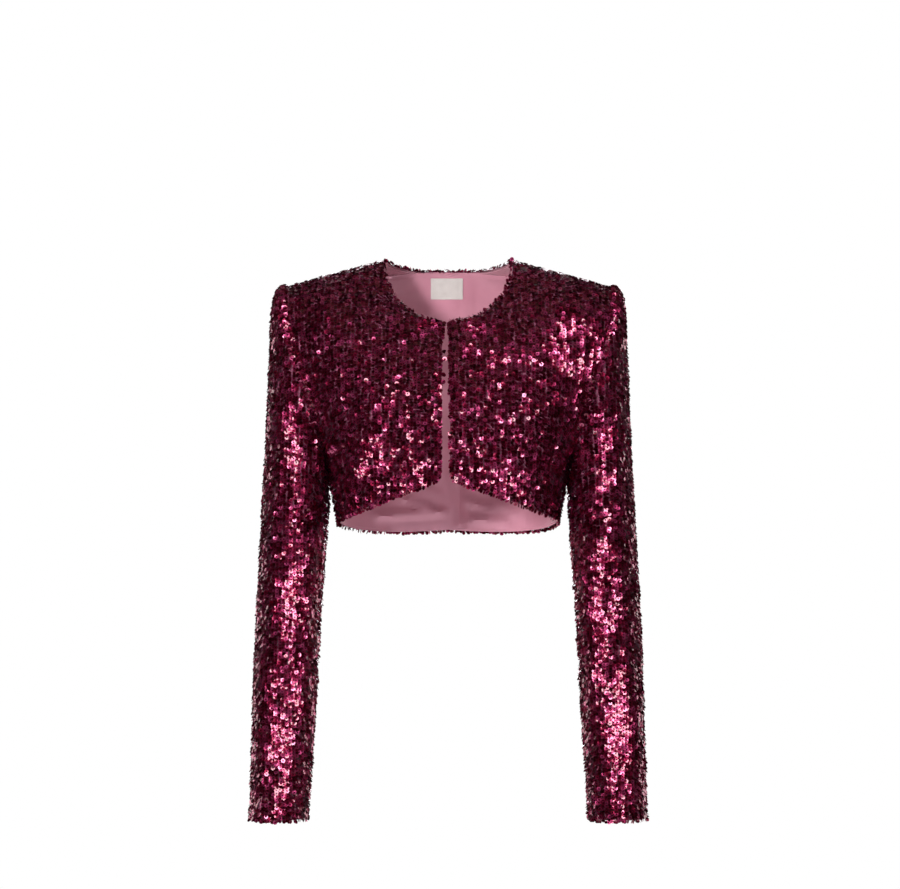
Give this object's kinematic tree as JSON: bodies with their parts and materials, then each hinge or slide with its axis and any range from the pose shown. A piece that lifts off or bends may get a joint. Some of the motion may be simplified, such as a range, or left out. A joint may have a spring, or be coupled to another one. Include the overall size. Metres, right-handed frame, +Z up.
{
  "type": "short sequinned evening jacket",
  "caption": "Cropped collarless open-front jacket in sequinned cloth with long narrow sleeves and square shoulders, filled out as if worn.",
  "frame": {"origin": "where the wearer's shoulders carry the jacket, midway between the neck ends of the two shoulder seams", "axes": "+Z up, -Y towards what the wearer faces, +X towards the wearer's left"},
  "size_m": [0.4696, 0.2214, 0.6642],
  "materials": {
    "sequins": "dark berry-red mesh covered in overlapping metallic sequins",
    "satin": "dusty pink polyester satin lining, soft sheen",
    "label": "plain woven cream label tape, matt"
  },
  "bodies": {
    "root": {"front_right": "sequins", "front_left": "sequins", "back_right": "sequins", "back_left": "sequins", "sleeve_right_upper": "sequins", "sleeve_right_lower": "sequins", "sleeve_left_upper": "sequins", "sleeve_left_lower": "sequins", "back_lining": "satin", "label": "label"}
  },
  "joints": []
}
